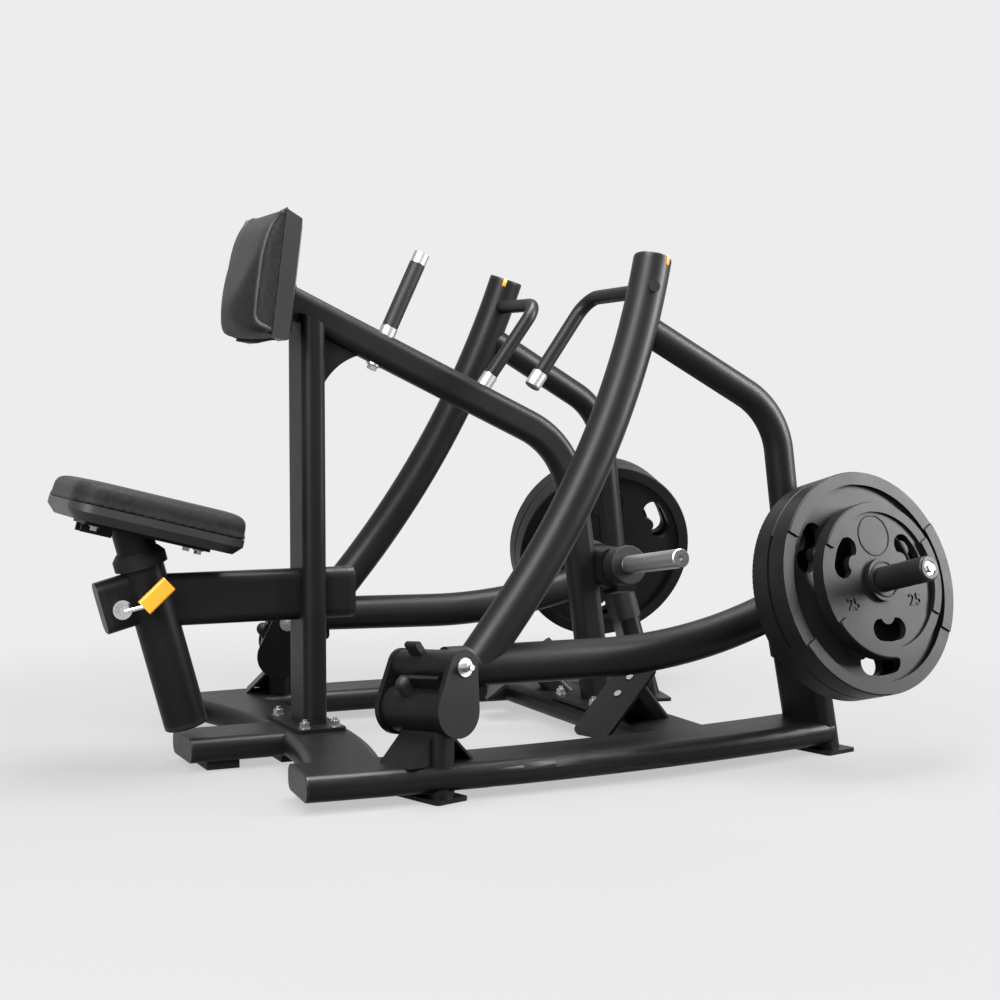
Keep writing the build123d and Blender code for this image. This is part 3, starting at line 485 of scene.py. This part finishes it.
RING_PROFILE = [(-0.0016, -0.001), (0.0016, -0.001), (0.0011, 0.0012), (-0.0011, 0.0012)]


def ring(name, side, distance, centre_radius, radius, facing, height=1.0):
    """A raised line round a circle on a plate's face."""
    axis = mirrored(HORN_AXIS, side)
    centre = plate_spot(side, distance, centre_radius, 0)
    profile = [(radius + across, up * height) for across, up in RING_PROFILE]
    body = ("right" if side < 0 else "left") + "_plates"
    lathe(name, centre, axis * facing, profile, "plate_black", body)


for side, label in ((-1, "right"), (1, "left")):
    raised_number(label + "_plate_number_front", side, 118, 0.094, 0.034)
    raised_number(label + "_plate_number_rear", side, -118, 0.094, 0.034)
    ring(label + "_plate_face_ring", side, SMALL_PLATE_DISH, 0.0895, 0.040, 1)
    ring(label + "_plate_hub_ring", side, SMALL_PLATE_FACE, 0, 0.0345, 1, 1.6)
    ring(label + "_plate_back_ring", side, BIG_PLATE_BACK_DISH, 0.128, 0.041, -1)
    ring(label + "_plate_back_hub_ring", side, BIG_PLATE_BACK, 0, 0.0385, -1, 0.25)


# ------------------------------------------------------------------ arm details
def stripe(label, side):
    """Orange band across a lever's cap and a little way down both sides of it."""
    straight = (LEVER_BEND - LEVER_FOOT).normalized()
    chord = (LEVER_TOP - LEVER_BEND).normalized()
    rise = mirrored(chord * (2 * chord.dot(straight)) - straight, side).normalized()
    run = mirrored(Vector((0.43, -0.90, 0)), side)
    run = (run - rise * run.dot(rise)).normalized()
    across = rise.cross(run) * STRIPE_HALF_WIDE
    top = mirrored(LEVER_TOP, side)
    edge = LEVER_RADIUS + 0.0006
    roof = CAP_THICK + 0.0006
    half = [(edge - 0.004, roof), (edge - 0.0010, roof - 0.0010), (edge, roof - 0.004), (edge, -0.008)]
    line = [(-out, up) for out, up in reversed(half)] + half
    points = []
    for out, up in line:
        for wide in (-1, 1):
            for sunk in (0, 0.002):
                offset = run * (out - math.copysign(sunk, out)) + rise * (up - sunk) + across * wide
                points.append(top + offset)
    faces = []
    for base in range(0, len(points) - 4, 4):
        after = base + 4
        faces += [(base, base + 2, after + 2, after), (base + 1, after + 1, after + 3, base + 3),
                  (base, after, after + 1, base + 1), (base + 2, base + 3, after + 3, after + 2)]
    last = len(points) - 4
    faces += [(0, 1, 3, 2), (last, last + 2, last + 3, last + 1)]
    mesh_object(label + "_lever_stripe", points, faces, "lever_orange", label + "_arm")


stripe("right", -1)
stripe("left", 1)


# ------------------------------------------------------------------------ stage
def floor_material():
    """Pale floor that fades into the backdrop away from the machine."""
    material, tree, shader = new_material("studio floor")
    shader.inputs["Roughness"].default_value = 0.9
    shader.inputs["Specular IOR Level"].default_value = 0.1
    tinted(tree, shader, noise(tree, 1.2), (0.084, 0.084, 0.085), (0.088, 0.088, 0.089))
    glow = tree.nodes.new("ShaderNodeEmission")
    glow.inputs["Color"].default_value = (0.995, 1.0, 1.01, 1)
    glow.inputs["Strength"].default_value = BACKGROUND
    mix = tree.nodes.new("ShaderNodeMixShader")
    length = tree.nodes.new("ShaderNodeVectorMath")
    length.operation = "LENGTH"
    tree.links.new(object_coordinates(tree), length.inputs[0])
    fade = tree.nodes.new("ShaderNodeMapRange")
    fade.interpolation_type = "SMOOTHSTEP"
    fade.inputs["From Min"].default_value = 0.5
    fade.inputs["From Max"].default_value = 2.2
    fade.inputs["To Min"].default_value = 0.60
    tree.links.new(length.outputs["Value"], fade.inputs["Value"])
    tree.links.new(fade.outputs["Result"], mix.inputs["Fac"])
    tree.links.new(shader.outputs["BSDF"], mix.inputs[1])
    tree.links.new(glow.outputs["Emission"], mix.inputs[2])
    output = next(node for node in tree.nodes if node.type == "OUTPUT_MATERIAL")
    tree.links.new(mix.outputs["Shader"], output.inputs["Surface"])
    return material


def make_floor():
    steps, reach = 96, 14.0
    points = [(0, 0, 0)]
    for step in range(steps):
        turn = 2 * math.pi * step / steps
        points.append((reach * math.cos(turn), reach * math.sin(turn), 0))
    faces = [(0, step + 1, (step + 1) % steps + 1) for step in range(steps)]
    mesh = bpy.data.meshes.new("studio_floor")
    mesh.from_pydata(points, [], faces)
    mesh.materials.append(floor_material())
    floor = bpy.data.objects.new("studio_floor", mesh)
    bpy.context.scene.collection.objects.link(floor)


def soft_light(name, place, aim, size, energy):
    data = bpy.data.lights.new(name, "AREA")
    data.shape = "RECTANGLE"
    data.size, data.size_y = size
    data.energy = energy
    lamp = bpy.data.objects.new(name, data)
    lamp.location = place
    lamp.rotation_euler = (Vector(aim) - Vector(place)).to_track_quat("-Z", "Y").to_euler()
    bpy.context.scene.collection.objects.link(lamp)


def make_world():
    world = bpy.data.worlds.new("studio")
    world.use_nodes = True
    shade = world.node_tree.nodes["Background"]
    shade.inputs["Color"].default_value = (0.995, 1.0, 1.01, 1)
    shade.inputs["Strength"].default_value = BACKGROUND
    bpy.context.scene.world = world


def make_camera():
    data = bpy.data.cameras.new("camera")
    data.lens = 64.08
    data.sensor_width = 36.0
    camera = bpy.data.objects.new("camera", data)
    camera.location = (-1.4957, -3.487, 0.735)
    camera.rotation_euler = (math.radians(86.82), 0, math.radians(-24.54))
    bpy.context.scene.collection.objects.link(camera)
    bpy.context.scene.camera = camera


make_floor()
make_world()
make_camera()
soft_light("key", (-2.6, -2.4, 2.6), (0.0, 0.0, 0.5), (1.6, 2.6), 600)
soft_light("top", (0.2, -0.2, 3.4), (0.1, 0.0, 0.4), (2.4, 1.4), 520)
soft_light("rim", (2.8, -1.6, 1.8), (0.2, -0.2, 0.6), (0.6, 2.4), 420)

bpy.context.scene.view_settings.view_transform = "Standard"
